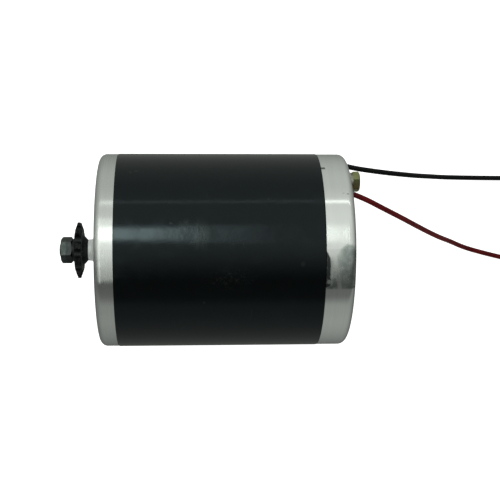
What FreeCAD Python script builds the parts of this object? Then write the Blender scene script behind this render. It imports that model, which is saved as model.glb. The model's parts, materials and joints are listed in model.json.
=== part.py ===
"""Brushed permanent-magnet DC motor, 4-pole, chain-drive output, face-mounted, no foot.

Row frame: +X runs along the shaft from the sprocket end to the lead end, +Z is up, and the motor
lies on its side.  Z = 0 is the surface it lies on, Y = 0 is the shaft axis, and X = 0 is half way
between the shaft's free end and the through-bolt heads.  Everything is modelled in "motor
coordinates" (shaft axis = X axis) and moved to the row frame on export.  Millimetres.
"""
import FreeCAD, Part
import os, math

os.makedirs("parts", exist_ok=True)
V = FreeCAD.Vector

# ---------------------------------------------------------------- driving dimensions
R_BODY = 54.0            # outside radius of the steel yoke tube
T_WALL = 4.5             # yoke wall
R_YOKE_IN = R_BODY - T_WALL
R_CAP = 53.8             # outside radius of both end caps
X_FF = -53.8             # front mounting face
X_T0 = -43.8             # front end of the yoke tube
X_T1 = 66.5              # rear end of the yoke tube
X_RF = 82.5              # rear face of the rear cap
R_SPIGOT = R_YOKE_IN - 0.05
FILLET_F = 3.8           # front cap corner
FILLET_R = 3.8           # rear cap corner

BOLT_ANG = 32.0          # first through-bolt, degrees from +Y towards +Z
BOLT_R = 43.5            # through-bolt circle radius
BOLT_ANGS = (BOLT_ANG, BOLT_ANG + 180.0)
POLE_ANGS = tuple(BOLT_ANG + 45.0 + 90.0 * i for i in range(4))      # magnet and brush centres

TAP_R = 35.0             # face-mount circle radius, 4 x M6
TAP_HOLE_R = 2.5
TAP_DEPTH = 9.0
FACE_BOSS_R = 19.0       # pilot boss round the shaft
FACE_BOSS_H = 1.6

LEAD_D = 2.9             # outside diameter of each lead
BLACK_HOLE = (47.35, 8.75)   # radius and angle of each lead's hole
RED_HOLE = (46.15, 50.67)
GROM_H = 0.8             # grommet flange thickness outside the cap

X_SPR = -66.1            # sprocket mid-plane
SPR_T = 4.0
SPR_N = 11
SPR_PITCH = 8.0
X_SHAFT_END = -77.0
X_NUT0, X_NUT1 = -76.2, -69.7
X_LOCK1 = X_SPR - SPR_T / 2          # lock washer between nut and sprocket
X_HUB = X_SPR + SPR_T / 2 + 3.0      # inner end of the sprocket's hub, against the shaft's shoulder

ROTOR_R = 39.0
MAG_RI = 39.9
MAG_RO = R_YOKE_IN - 0.05
MAG_X0, MAG_X1 = -28.0, 42.0
STK_X0, STK_X1 = -25.0, 39.0
N_SLOT = 16
N_BAR = 32
COM_R = 17.0
COM_X0, COM_X1 = 51.5, 67.5

X_BOLT_HEAD0 = X_RF + 0.8 + 1.3      # pad, lock washer, head
BOLT_HEAD_H = 3.8
X_MAX = X_BOLT_HEAD0 + BOLT_HEAD_H
X_OFF = -(X_SHAFT_END + X_MAX) / 2.0
Z_OFF = R_BODY
TO_ROW = V(X_OFF, 0, Z_OFF)

EX = V(1, 0, 0)


# ---------------------------------------------------------------- helpers
def pol(r, deg, x=0.0):
    a = math.radians(deg)
    return V(x, r * math.cos(a), r * math.sin(a))


def cyl(r, x0, x1, y=0.0, z=0.0):
    return Part.makeCylinder(r, x1 - x0, V(x0, y, z), EX)


def ring(ro, ri, x0, x1):
    return cyl(ro, x0, x1).cut(cyl(ri, x0 - 1, x1 + 1))


def cyl_at(r, x0, x1, rad, deg):
    p = pol(rad, deg, x0)
    return Part.makeCylinder(r, x1 - x0, p, EX)


def rev(pts):
    """Solid of revolution about the X axis from (x, r) points."""
    w = Part.makePolygon([V(x, r, 0) for x, r in pts] + [V(pts[0][0], pts[0][1], 0)])
    return Part.Face(w).revolve(V(0, 0, 0), EX, 360)


def sector(ro, ri, a0, a1, x0, x1):
    """Part of a ring between two angles."""
    w = Part.makePolygon([V(x0, ri, 0), V(x1, ri, 0), V(x1, ro, 0), V(x0, ro, 0), V(x0, ri, 0)])
    s = Part.Face(w).revolve(V(0, 0, 0), EX, a1 - a0)
    s.rotate(V(0, 0, 0), EX, a0)
    return s


def turned(shape, deg):
    s = shape.copy()
    s.rotate(V(0, 0, 0), EX, deg)
    return s


def fuse(shapes):
    s = shapes[0]
    if len(shapes) > 1:
        s = s.multiFuse(shapes[1:])
    return s.removeSplitter()


def hexagon(af, x0, x1, cx, deg0):
    """Hexagonal prism along X, centred at cx (a vector), one corner at angle deg0."""
    rc = af / math.sqrt(3.0)
    pts = []
    for i in range(7):
        a = math.radians(deg0 + 60.0 * i)
        pts.append(V(x0, cx.y + rc * math.cos(a), cx.z + rc * math.sin(a)))
    return Part.Face(Part.makePolygon(pts)).extrude(V(x1 - x0, 0, 0))


def hex_chamfer(af, x0, x1, cx, both):
    """The turned form that rounds a hexagon's corners at one end (x1) or both."""
    rc = af / math.sqrt(3.0)
    c = (rc - af / 2.0) + 0.25
    h = c * math.tan(math.radians(30.0)) + 0.12
    lo = [(x0, 0.0), (x0, af / 2.0 - 0.25 if both else rc + 1.0)]
    if both:
        lo.append((x0 + h, rc + 0.02))
    hi = [(x1 - h, rc + 0.02), (x1, af / 2.0 - 0.25), (x1, 0.0)]
    s = rev(lo + hi)
    s.translate(V(0, cx.y, cx.z))
    return s


def tube_path(points, d, radii=None, label=""):
    """Round tube along straight runs joined by tangent arcs."""
    P = [V(*p) for p in points]
    runs = [(P[i + 1] - P[i]).Length for i in range(len(P) - 1)]
    edges, last, out = [], P[0], []
    for i in range(1, len(P) - 1):
        a = (P[i] - P[i - 1]).normalize()
        b = (P[i + 1] - P[i]).normalize()
        turn = a.getAngle(b)
        r = 0.45 * min(runs[i - 1], runs[i]) / math.tan(turn / 2.0)
        t = r * math.tan(turn / 2.0)
        s, e = P[i] - a * t, P[i] + b * t
        n = (b - a).normalize()
        mid = P[i] + n * (r / math.cos(turn / 2.0) - r)
        edges.append(Part.LineSegment(last, s).toShape())
        edges.append(Part.Arc(s, mid, e).toShape())
        last = e
        out.append(r)
    edges.append(Part.LineSegment(last, P[-1]).toShape())
    wire = Part.Wire(edges)
    c = Part.Wire(Part.makeCircle(d / 2.0, P[0], (P[1] - P[0]).normalize()))
    s = wire.makePipeShell([c], True, False)
    want = math.pi * d * d / 4.0 * wire.Length
    print("tube %-14s length %.1f volume ratio %.4f valid %s radii %s runs %s" % (
        label, wire.Length, s.Volume / want, s.isValid(), [round(r, 1) for r in out], [round(r, 1) for r in runs]))
    return s


NODES = {}
NODES_LOCAL = {}


def put(name, shape, place=True):
    s = shape.copy()
    if place:
        s.translate(TO_ROW)
    NODES[name] = s


# ---------------------------------------------------------------- yoke tube
tube = rev([(X_T0 + 0.05, R_YOKE_IN), (X_T1 - 0.05, R_YOKE_IN), (X_T1 - 0.05, R_BODY - 0.35), (X_T1 - 0.4, R_BODY),
            (X_T0 + 0.4, R_BODY), (X_T0 + 0.05, R_BODY - 0.35)])
put("yoke_tube", tube)

# ---------------------------------------------------------------- front end cap
FB_OD, FB_W, FB_X0 = 16.0, 10.0, -50.3           # 6201 bearing seat
FB_X1 = FB_X0 + FB_W
cap = cyl(R_CAP, X_FF, X_T0)
outer_edge = [e for e in cap.Edges if abs(e.BoundBox.XMax - X_FF) < 1e-6 and abs(e.BoundBox.XMin - X_FF) < 1e-6][0]
cap = cap.makeFillet(FILLET_F, [outer_edge])
cap = cap.fuse(cyl(R_SPIGOT, X_T0, X_T0 + 6.0))
cap = cap.cut(cyl(46.0, X_FF + 6.0, X_T0 + 7.0))
inner = [cyl(21.5, X_FF + 5.5, FB_X1 + 2.2)]
for a in BOLT_ANGS:
    inner.append(cyl_at(6.2, X_FF + 5.5, X_T0 + 5.5, BOLT_R, a))
for a in POLE_ANGS:
    inner.append(cyl_at(5.5, X_FF + 5.5, X_FF + TAP_DEPTH + 2.0, TAP_R, a))
for i in range(8):                                # stiffening ribs
    rib = Part.makeBox(6.0, 26.0, 2.6, V(X_FF + 5.5, 20.5, -1.3))
    inner.append(turned(rib, BOLT_ANG + 22.5 + 45.0 * i))
cap = fuse([cap] + inner)
cap = cap.common(fuse([cyl(R_CAP + 1, X_FF - 1, X_T0), cyl(R_SPIGOT, X_T0, X_T0 + 9)]))
boss = rev([(X_FF + 1, 0), (X_FF + 1, FACE_BOSS_R), (X_FF - FACE_BOSS_H + 0.4, FACE_BOSS_R), (X_FF - FACE_BOSS_H, FACE_BOSS_R - 0.4), (X_FF - FACE_BOSS_H, 0)])
cap = cap.fuse(boss).removeSplitter()
cap = cap.cut(cyl(8.2, X_FF - 5, X_FF + 8))
cap = cap.cut(rev([(X_FF - FACE_BOSS_H - 0.1, 0), (X_FF - FACE_BOSS_H - 0.1, 9.4), (X_FF - FACE_BOSS_H + 1.1, 8.2), (X_FF - FACE_BOSS_H + 1.1, 0)]))
cap = cap.cut(cyl(FB_OD + 0.02, FB_X0 - 0.05, FB_X1 + 5))
cap = cap.cut(cyl(FB_OD + 0.9, FB_X1 + 0.1, FB_X1 + 1.3))       # circlip groove
for a in BOLT_ANGS:
    cap = cap.cut(cyl_at(3.02, X_FF + 3.4, X_T0 + 8, BOLT_R, a))
for a in POLE_ANGS:
    cap = cap.cut(cyl_at(TAP_HOLE_R, X_FF - 1, X_FF + TAP_DEPTH, TAP_R, a))
put("front_cap", cap)

# ---------------------------------------------------------------- rear end cap
RB_OD, RB_W, RB_X0 = 15.0, 9.0, 69.5             # 6200 bearing seat
RB_X1 = RB_X0 + RB_W
CAV_R = 48.6
cap = cyl(R_CAP, X_T1, X_RF)
outer_edge = [e for e in cap.Edges if abs(e.BoundBox.XMax - X_RF) < 1e-6 and abs(e.BoundBox.XMin - X_RF) < 1e-6][0]
cap = cap.makeFillet(FILLET_R, [outer_edge])
cap = cap.fuse(cyl(R_SPIGOT, X_T1 - 6.0, X_T1))
cap = cap.cut(cyl(46.4, X_T1 - 7, X_T1 + 0.5)).cut(cyl(CAV_R, X_T1, X_RF - 4.2))
inner = [cyl(20.0, 69.1, X_RF - 4)]
for a in BOLT_ANGS:
    inner.append(cyl_at(6.0, 73.0, X_RF - 4, BOLT_R, a))
for i in range(4):
    inner.append(cyl_at(4.6, 71.05, X_RF - 4, 33.0, BOLT_ANG + 90.0 * i))
for a in POLE_ANGS:
    inner.append(turned(Part.makeBox(3.0, 28.9, 2.6, V(76.0, 19.5, -1.3)), a))
cap = fuse([cap] + inner)
cap = cap.common(fuse([cyl(R_CAP + 1, X_T1, X_RF + 5), cyl(R_SPIGOT, X_T1 - 9, X_T1)]))
outs = [rev([(X_RF - 1, 0), (X_RF - 1, 16.5), (X_RF + 0.8, 16.5), (X_RF + 1.2, 16.1), (X_RF + 1.2, 0)])]
for a in BOLT_ANGS:
    outs.append(cyl_at(5.1, X_RF - 1, X_RF + 0.8, BOLT_R, a))
cap = fuse([cap] + outs)
cap = cap.cut(rev([(X_RF + 0.4, 0), (X_RF + 0.4, 11.6), (X_RF + 1.3, 12.5), (X_RF + 1.3, 0)]))    # dished centre
cap = cap.cut(cyl(RB_OD + 0.02, RB_X0 - 3, RB_X1 + 0.75))
cap = cap.cut(cyl(8.5, RB_X1, RB_X1 + 1.6))
for a in BOLT_ANGS:
    cap = cap.cut(cyl_at(3.25, X_T1 - 8, X_RF + 3, BOLT_R, a))
for i in range(4):
    cap = cap.cut(cyl_at(1.66, 66, 77.5, 33.0, BOLT_ANG + 90.0 * i))
for r, a in (BLACK_HOLE, RED_HOLE):
    cap = cap.cut(cyl_at(2.15, X_RF - 8, X_RF + 2, r, a))
    cap = cap.cut(cyl_at(2.8, 70.6, X_RF - 4.2, r, a))          # relief for the lead and the grommet's inner flange
put("rear_cap", cap)

# ---------------------------------------------------------------- through-bolts and lock washers
bolts, washers = [], []
for k, a in enumerate(BOLT_ANGS):
    c = pol(BOLT_R, a)
    # corner direction of the hexagon, and a turned cone for its corners
    h = hexagon(10.0, X_BOLT_HEAD0, X_MAX, c, 20.5 - 12.0 * k)
    h = h.common(hex_chamfer(10.0, X_BOLT_HEAD0, X_MAX, c, False))
    dish = rev([(X_MAX - 0.35, 0), (X_MAX - 0.35, 2.7), (X_MAX + 0.1, 3.3), (X_MAX + 0.1, 0)])
    dish.translate(V(0, c.y, c.z))
    h = h.cut(dish)
    # rolled shank, thread at the front end as turned grooves
    pts = [(X_FF + 3.7, 0.0), (X_FF + 3.7, 2.3), (X_FF + 4.3, 2.95)]
    x = X_FF + 5.0
    while x < X_FF + 26.0:
        pts += [(x, 2.95), (x + 0.5, 2.45), (x + 1.0, 2.95)]
        x += 1.25
    pts += [(X_BOLT_HEAD0, 2.95), (X_BOLT_HEAD0, 0.0)]
    s = rev(pts)
    s.translate(V(0, c.y, c.z))
    bolts.append(fuse([s, h]))
    w = ring(5.0, 3.05, X_RF + 0.8, X_BOLT_HEAD0)
    slit = Part.makeBox(3.0, 1.0, 6.0, V(X_RF, -0.5, 1.0))
    slit.rotate(V(0, 0, 0), V(0, 0, 1), 0)
    slit.rotate(V(X_RF + 1.5, 0, 3.0), V(0, 0, 1), 28)
    w = w.cut(slit)
    w = turned(w, 40.0 + 150.0 * k)
    w.translate(V(0, c.y, c.z))
    washers.append(w)
put("through_bolts", Part.makeCompound(bolts))
put("bolt_lock_washers", Part.makeCompound(washers))

# ---------------------------------------------------------------- magnets and their clips
mags = []
for a in POLE_ANGS:
    # arc segment with bevelled tips on the rotor side
    e = [Part.Arc(pol(MAG_RO, -36.0, MAG_X0), pol(MAG_RO, 0.0, MAG_X0), pol(MAG_RO, 36.0, MAG_X0)).toShape(),
         Part.LineSegment(pol(MAG_RO, 36.0, MAG_X0), pol(MAG_RI + 2.2, 36.0, MAG_X0)).toShape(),
         Part.LineSegment(pol(MAG_RI + 2.2, 36.0, MAG_X0), pol(MAG_RI, 33.4, MAG_X0)).toShape(),
         Part.Arc(pol(MAG_RI, 33.4, MAG_X0), pol(MAG_RI, 0.0, MAG_X0), pol(MAG_RI, -33.4, MAG_X0)).toShape(),
         Part.LineSegment(pol(MAG_RI, -33.4, MAG_X0), pol(MAG_RI + 2.2, -36.0, MAG_X0)).toShape(),
         Part.LineSegment(pol(MAG_RI + 2.2, -36.0, MAG_X0), pol(MAG_RO, -36.0, MAG_X0)).toShape()]
    mags.append(turned(Part.Face(Part.Wire(e)).extrude(V(MAG_X1 - MAG_X0, 0, 0)), a))
put("field_magnets", Part.makeCompound(mags))
clips = []
for a in (BOLT_ANG + 90.0, BOLT_ANG + 270.0):
    c = fuse([sector(49.35, 48.55, a - 8.6, a + 8.6, -20, 34),
              sector(49.35, 42.2, a - 8.6, a - 7.7, -20, 34),
              sector(49.35, 42.2, a + 7.7, a + 8.6, -20, 34),
              sector(42.9, 42.2, a + 5.2, a + 8.6, -20, 34),
              sector(42.9, 42.2, a - 8.6, a - 5.2, -20, 34)])
    clips.append(c)
put("magnet_clips", Part.makeCompound(clips))

# ---------------------------------------------------------------- bearings
def bearing(bore, od, w, ball_r, pitch_r, dr, n, x0, tag, nballs_phase):
    xm = x0 + w / 2.0
    inner_r, outer_r = pitch_r - dr, pitch_r + dr
    def rounded(ro, ri, c=0.4):
        return rev([(x0 + c, ri), (x0 + w - c, ri), (x0 + w, ri + c), (x0 + w, ro - c), (x0 + w - c, ro), (x0 + c, ro), (x0, ro - c), (x0, ri + c)])
    groove = Part.makeTorus(pitch_r, ball_r + 0.04, V(xm, 0, 0), EX)
    ir = rounded(inner_r, bore + 0.0, 0.3).cut(groove)
    og = ring(outer_r + 1.1, outer_r - 0.1, x0 + 0.25, x0 + 0.75).fuse(ring(outer_r + 1.1, outer_r - 0.1, x0 + w - 0.75, x0 + w - 0.25))
    orr = rounded(od, outer_r, 0.4).cut(groove).cut(og)
    balls, pockets = [], []
    for i in range(n):
        p = pol(pitch_r, nballs_phase + 360.0 * i / n, xm)
        balls.append(Part.makeSphere(ball_r, p))
        pockets.append(Part.makeSphere(ball_r + 0.08, p))
    # the cage: a band on the pitch circle, crimped round the balls
    band = ring(pitch_r + 0.62, pitch_r - 0.62, xm - ball_r - 0.55, xm + ball_r + 0.55)
    for p in pockets:
        band = band.cut(p)
    shields = []
    for sx in (x0 + 0.3, x0 + w - 0.7):
        s = ring(outer_r + 0.95, inner_r + 0.25, sx, sx + 0.4)
        shields.append(s)
    return ir, orr, balls, band, shields


ir, orr, balls, band, sh = bearing(6.0, FB_OD, FB_W, 2.9765, 11.0, 1.9, 7, FB_X0, "front", 8.0)
put("front_bearing_inner_ring", ir)
put("front_bearing_outer_ring", orr)
put("front_bearing_balls", Part.makeCompound(balls))
put("front_bearing_cage", band)
put("front_bearing_shields", Part.makeCompound(sh))
ir, orr, balls, band, sh = bearing(5.0, RB_OD, RB_W, 2.381, 10.0, 1.55, 8, RB_X0, "rear", 20.0)
put("rear_bearing_inner_ring", ir)
put("rear_bearing_outer_ring", orr)
put("rear_bearing_balls", Part.makeCompound(balls))
put("rear_bearing_cage", band)
put("rear_bearing_shields", Part.makeCompound(sh))

# front bearing circlip, with its two plier eyes
clip = sector(FB_OD + 0.8, FB_OD - 1.6, 18, 342, FB_X1 + 0.15, FB_X1 + 1.2)
for a in (20.5, 339.5):
    clip = clip.fuse(cyl_at(1.5, FB_X1 + 0.15, FB_X1 + 1.2, FB_OD - 1.9, a))
for a in (20.5, 339.5):
    clip = clip.cut(cyl_at(0.7, FB_X1, FB_X1 + 2, FB_OD - 2.1, a))
put("front_bearing_circlip", clip.removeSplitter())
put("rear_preload_washer", ring(14.6, 11.4, RB_X1 + 0.1, RB_X1 + 0.6))

# ---------------------------------------------------------------- rotor shaft
sh_pts = [(X_SHAFT_END, 0), (X_SHAFT_END, 3.2), (X_SHAFT_END + 0.8, 4.0)]
x = X_SHAFT_END + 1.0
while x < X_SPR - SPR_T / 2 - 1.6:                 # M8 x 1.25 thread as turned grooves
    sh_pts += [(x, 3.99), (x + 0.55, 3.38), (x + 1.1, 3.99)]
    x += 1.25
sh_pts += [(X_SPR - SPR_T / 2 + 0.1, 3.99), (X_SPR - SPR_T / 2 + 0.1, 4.8), (X_SPR - SPR_T / 2 + 0.3, 5.0),
           (X_HUB, 5.0), (X_HUB, 5.8), (X_HUB + 0.2, 6.0), (-59.7, 6.0), (-59.0, 6.25), (-57.5, 7.45), (-57.2, 7.6), (-56.5, 7.6), (-56.5, 6.0),
           (FB_X1 + 0.0, 6.0), (FB_X1, 7.5),
           (RB_X0, 7.5), (RB_X0, 5.0), (RB_X1 + 0.3, 5.0), (RB_X1 + 0.7, 4.6), (RB_X1 + 0.7, 0)]
shaft = rev(sh_pts)
# two flats, 8 mm across, that drive the sprocket
for s in (-1, 1):
    f = Part.makeBox(SPR_T + 3.15, 14, 3, V(X_SPR - SPR_T / 2 - 0.15, -7, 4.0 if s > 0 else -7.0))
    f = turned(f, 20.0)
    shaft = shaft.cut(f)
put("rotor_shaft", shaft)

# ---------------------------------------------------------------- sprocket, lock washer, nut
rp = SPR_PITCH / (2 * math.sin(math.pi / SPR_N))
r_tip, seat = 15.8, 2.55
x0, x1 = X_SPR - SPR_T / 2, X_SPR + SPR_T / 2
disc = rev([(x0, 0), (x0, 12.2), (x0 + 0.55, 13.6), (x0 + 1.3, r_tip), (x1 - 1.3, r_tip), (x1 - 0.55, 13.6), (x1, 12.2), (x1, 0)])


def gap_tool():
    # one tooth gap: roller seat and the two flanks above it
    xa, xb = x0 - 1, x1 + 1
    a0 = V(xa, rp, -seat)
    e = [Part.Arc(V(xa, rp + 0.35, -seat + 0.03), V(xa, rp - seat, 0), V(xa, rp + 0.35, seat - 0.03)).toShape(),
         Part.Arc(V(xa, rp + 0.35, seat - 0.03), V(xa, rp + 1.25, seat + 0.5), V(xa, 17.0, 4.5)).toShape(),
         Part.LineSegment(V(xa, 17.0, 4.5), V(xa, 17.0, -4.5)).toShape(),
         Part.Arc(V(xa, 17.0, -4.5), V(xa, rp + 1.25, -seat - 0.5), V(xa, rp + 0.35, -seat + 0.03)).toShape()]
    return Part.Face(Part.Wire(e)).extrude(V(xb - xa, 0, 0))


g = gap_tool()
disc = disc.cut(Part.makeCompound([turned(g, 360.0 / SPR_N * i) for i in range(SPR_N)]))
disc = disc.fuse(rev([(x1 - 0.5, 0), (x1 - 0.5, 9.0), (x1, 9.0), (x1 + 0.5, 8.4), (X_HUB - 0.3, 5.95), (X_HUB - 0.02, 5.75), (X_HUB - 0.02, 0)]))     # hub
bore = cyl(5.03, x0 - 1, X_HUB + 1).common(turned(Part.makeBox(SPR_T + 8, 12, 8.06, V(x0 - 2, -6, -4.03)), 20.0))
disc = disc.cut(bore)
put("drive_sprocket", disc)

lw = ring(6.35, 4.15, X_NUT1, X_LOCK1)
slit = Part.makeBox(4.0, 1.2, 6.0, V(X_NUT1 - 1, -0.6, 2.0))
slit.rotate(V((X_NUT1 + X_LOCK1) / 2, 0, 4), V(0, 0, 1), 30)
put("sprocket_lock_washer", turned(lw.cut(slit), 100.0))

nut = hexagon(13.0, X_NUT0, X_NUT1, V(0, 0, 0), -8.0)
nut = nut.common(hex_chamfer(13.0, X_NUT0, X_NUT1, V(0, 0, 0), True))
nut = nut.cut(cyl(4.03, X_NUT0 - 1, X_NUT1 + 1))
nut = nut.cut(rev([(X_NUT0 - 0.1, 0), (X_NUT0 - 0.1, 4.6), (X_NUT0 + 0.5, 4.0), (X_NUT0 + 0.5, 0)]))
put("shaft_nut", nut)

# ---------------------------------------------------------------- armature
def slot_profile(grow, x):
    """One slot in the YZ plane about +Y, mouth at the rotor surface."""
    g = grow
    return [V(x, 19.2 - g, -1.3 - g), V(x, 35.4 + g, -5.1 - g), V(x, 36.6 + g, -4.2 - g), V(x, 36.9 + g, -1.3 - g),
            V(x, 36.9 + g, 1.3 + g), V(x, 36.6 + g, 4.2 + g), V(x, 35.4 + g, 5.1 + g), V(x, 19.2 - g, 1.3 + g), V(x, 19.2 - g, -1.3 - g)]


def slot_solid(grow, xa, xb, mouth):
    f = Part.Face(Part.makePolygon(slot_profile(grow, xa))).extrude(V(xb - xa, 0, 0))
    if mouth:
        f = f.fuse(Part.makeBox(xb - xa, 5, 2.6, V(xa, 35.5, -1.3)))
    return f


def slotted(r, bore, xa, xb):
    d = ring(r, bore, xa, xb)
    s = slot_solid(0.0, xa - 1, xb + 1, True)
    return d.cut(Part.makeCompound([turned(s, 360.0 / N_SLOT * i) for i in range(N_SLOT)]))


stack = slotted(ROTOR_R, 7.5, STK_X0, STK_X1)
put("lamination_stack", stack)
put("end_insulators", Part.makeCompound([slotted(38.4, 7.6, STK_X0 - 1.5, STK_X0), slotted(38.4, 7.6, STK_X1, STK_X1 + 1.5)]))
bar = slot_solid(-0.35, STK_X0 - 2.5, STK_X1 + 2.5, False)
bars = [turned(bar, 360.0 / N_SLOT * i) for i in range(N_SLOT)]
head_f = rev([(STK_X0 - 1.6, 15.5), (STK_X0 - 1.6, 36.4), (STK_X0 - 4.0, 37.0), (STK_X0 - 8.5, 35.0), (STK_X0 - 11.6, 29.5),
              (STK_X0 - 11.9, 22.5), (STK_X0 - 9.5, 16.5)])
head_r = rev([(STK_X1 + 1.6, 15.5), (STK_X1 + 1.6, 36.4), (STK_X1 + 4.0, 37.0), (STK_X1 + 8.0, 35.0), (STK_X1 + 10.6, 29.5),
              (STK_X1 + 11.3, 22.5), (STK_X1 + 10.8, 15.5)])
put("armature_winding", fuse([head_f, head_r] + bars))
wedge = Part.makeBox(STK_X1 - STK_X0 + 3, 0.9, 2.4, V(STK_X0 - 1.5, 37.35, -1.2))
put("slot_wedges", Part.makeCompound([turned(wedge, 360.0 / N_SLOT * i) for i in range(N_SLOT)]))

# commutator: copper bars with raised tangs, on a moulded core
step = 360.0 / N_BAR
half = step / 2.0 - 1.05
profile = rev([(COM_X0, 12.2), (COM_X1, 12.2), (COM_X1, COM_R), (COM_X0 + 2.2, COM_R), (COM_X0 + 2.2, COM_R + 1.8),
               (COM_X0 + 0.2, COM_R + 1.8), (COM_X0 + 0.2, COM_R - 1.0), (COM_X0, COM_R - 1.0)])
one = profile.common(sector(COM_R + 4, 11, -half, half, COM_X0 - 1, COM_X1 + 1))
cb = [turned(one, step * i) for i in range(N_BAR)]
put("commutator_bars", Part.makeCompound(cb))
core = ring(12.15, 7.52, COM_X0 - 0.8, COM_X1 + 0.8)
put("commutator_core", core)
put("front_shaft_spacer", ring(9.6, 7.55, FB_X1 + 3.3, STK_X0 - 1.55))

# ---------------------------------------------------------------- brush gear
BOX_X0, BOX_X1 = 54.3, 67.1             # outside of each brush box along the shaft
BR_HX, BR_HT = 5.0, 3.5                 # half sizes of a brush
XC = (BOX_X0 + BOX_X1) / 2.0
BR_R0, BR_R1 = COM_R + 0.06, 32.0
plate = ring(45.0, 21.2, 67.2, 69.0)
PLATE_X1 = 69.0
for a in BOLT_ANGS:
    plate = plate.cut(cyl_at(4.4, 66, 72, BOLT_R, a))
for i in range(4):
    plate = plate.cut(cyl_at(2.2, 66, 72, 33.0, BOLT_ANG + 90.0 * i))
put("brush_plate", plate)
spacers, screws = [], []
for i in range(4):
    a = BOLT_ANG + 90.0 * i
    p = pol(33.0, a)
    s = ring(4.2, 2.25, PLATE_X1, 71.05)
    s.translate(V(0, p.y, p.z))
    spacers.append(s)
    sc = rev([(64.9, 0), (64.9, 2.2), (65.5, 3.2), (67.2, 3.5), (67.2, 1.95), (69.5, 1.95), (70.9, 1.64), (76.6, 1.64), (77.0, 1.2), (77.0, 0)])
    for t in (0, 90):
        c = Part.makeBox(1.4, 3.6, 0.7, V(64.5, -1.8, -0.35))
        sc = sc.cut(turned(c, t + 12 * i))
    sc.translate(V(0, p.y, p.z))
    screws.append(sc)
put("brush_plate_spacers", Part.makeCompound(spacers))
put("brush_plate_screws", Part.makeCompound(screws))

boxes = []
for k, a in enumerate(POLE_ANGS):
    w = 0.9
    b = Part.makeBox(BOX_X1 - BOX_X0, 40.2 - 19.0, 2 * (BR_HT + w) + 0.2, V(BOX_X0, 19.0, -(BR_HT + w) - 0.1))
    b = b.cut(Part.makeBox(2 * BR_HX + 0.2, 39.2 - 18.0, 2 * BR_HT + 0.2, V(XC - BR_HX - 0.1, 18.0, -BR_HT - 0.1)))
    b = b.cut(Part.makeBox(4.0, 10.0, 2.2, V(BOX_X0 - 1.5, 27.5, -1.1)))        # slot for the shunt wire
    # rivet through the plate
    tr = 24.0 if k % 2 == 0 else 27.2
    b = b.fuse(Part.makeCylinder(1.2, 2.69, V(BOX_X1 - 0.2, tr, 0), EX)).removeSplitter()
    boxes.append(turned(b, a))
put("brush_boxes", Part.makeCompound(boxes))
holes = [turned(Part.makeCylinder(1.25, 6, V(66, 24.0 if k % 2 == 0 else 27.2, 0), EX), a) for k, a in enumerate(POLE_ANGS)]
s = NODES["brush_plate"]
s = s.copy()
s.translate(V(-TO_ROW.x, -TO_ROW.y, -TO_ROW.z))
s = s.cut(Part.makeCompound(holes))
put("brush_plate", s)

for k, a in enumerate(POLE_ANGS):
    br = Part.makeBox(2 * BR_HX, BR_R1 - 15.0, 2 * BR_HT, V(XC - BR_HX, 15.0, -BR_HT))
    br = br.cut(cyl(BR_R0, BOX_X0 - 5, BOX_X1 + 5))
    br = br.common(Part.makeBox(30, 30, 20, V(XC - 15, 14.0, -10)))
    put("carbon_brush_%d" % (k + 1), turned(br, a))
    # coil spring between the brush and the end of its box
    r0, r1 = BR_R1 + 0.05 + 0.35, 39.2 - 0.05 - 0.35
    turns_n, per = 4.0, 14
    n_pt = int(turns_n * per)
    hp = [V(2.3 * math.cos(2 * math.pi * i / per), r0 + (r1 - r0) * i / n_pt, 2.3 * math.sin(2 * math.pi * i / per)) for i in range(n_pt + 1)]
    prof = Part.Wire(Part.makeCircle(0.35, hp[0], (hp[1] - hp[0]).normalize()))
    spr = Part.makePolygon(hp).makePipeShell([prof], True, True, 1)
    spr.translate(V(XC, 0, 0))
    put("brush_spring_%d" % (k + 1), turned(spr, a))
    # braided shunt from the brush to a lug on the box
    sx = BOX_X0 - 2.6
    path = [(XC - BR_HX + 0.0, 29.6, 0), (sx, 29.6, 0), (sx, 36.0, 0), (BOX_X0 - 0.02, 37.9, 0)]
    sh = tube_path(path, 1.4, label="shunt %d" % (k + 1))
    sh = sh.cut(Part.makeBox(3, 6, 6, V(BOX_X0 - 0.01, 35.5, -3)))
    put("brush_shunt_%d" % (k + 1), turned(sh, a))

# jumpers join the opposite boxes behind the plate
def half_ring(r, a0, x):
    full = Part.makeTorus(r, 0.9, V(x, 0, 0), EX)
    return full.common(sector(60, 1, a0, a0 + 180, x - 3, x + 3))


jA = half_ring(24.0, POLE_ANGS[0], 70.5)
jB = half_ring(27.2, POLE_ANGS[1], 70.5)
put("brush_jumpers", Part.makeCompound([jA, jB]))

# ---------------------------------------------------------------- grommets and the leads inside
def grommet(r, a):
    g = rev([(X_RF + 0.02, LEAD_D / 2 + 0.02), (X_RF + 0.02, 2.5), (X_RF + GROM_H - 0.25, 2.5), (X_RF + GROM_H, 2.2), (X_RF + GROM_H, LEAD_D / 2 + 0.02)])
    b = ring(2.13, LEAD_D / 2 + 0.02, X_RF - 4.2 - 0.3, X_RF + 0.2)
    l = ring(2.6, LEAD_D / 2 + 0.02, X_RF - 4.2 - 0.9, X_RF - 4.22)
    g = fuse([g, b, l])
    p = pol(r, a)
    g.translate(V(0, p.y, p.z))
    return g
put("lead_grommets", Part.makeCompound([grommet(*BLACK_HOLE), grommet(*RED_HOLE)]))
X_EXIT = X_RF + GROM_H
inl = []
X_RUN = 72.87            # the leads lie on the jumpers here
for (r, a), r_end, a_end in ((BLACK_HOLE, 27.2, POLE_ANGS[3] - 360.0), (RED_HOLE, 24.0, POLE_ANGS[0])):
    p0 = pol(r, a, X_EXIT)
    p1 = pol(r, a, X_RUN)
    p2 = pol(r_end, a_end, X_RUN)
    inl.append(tube_path([tuple(p0), tuple(p1), tuple(p2)], LEAD_D, label="inner lead"))
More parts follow.
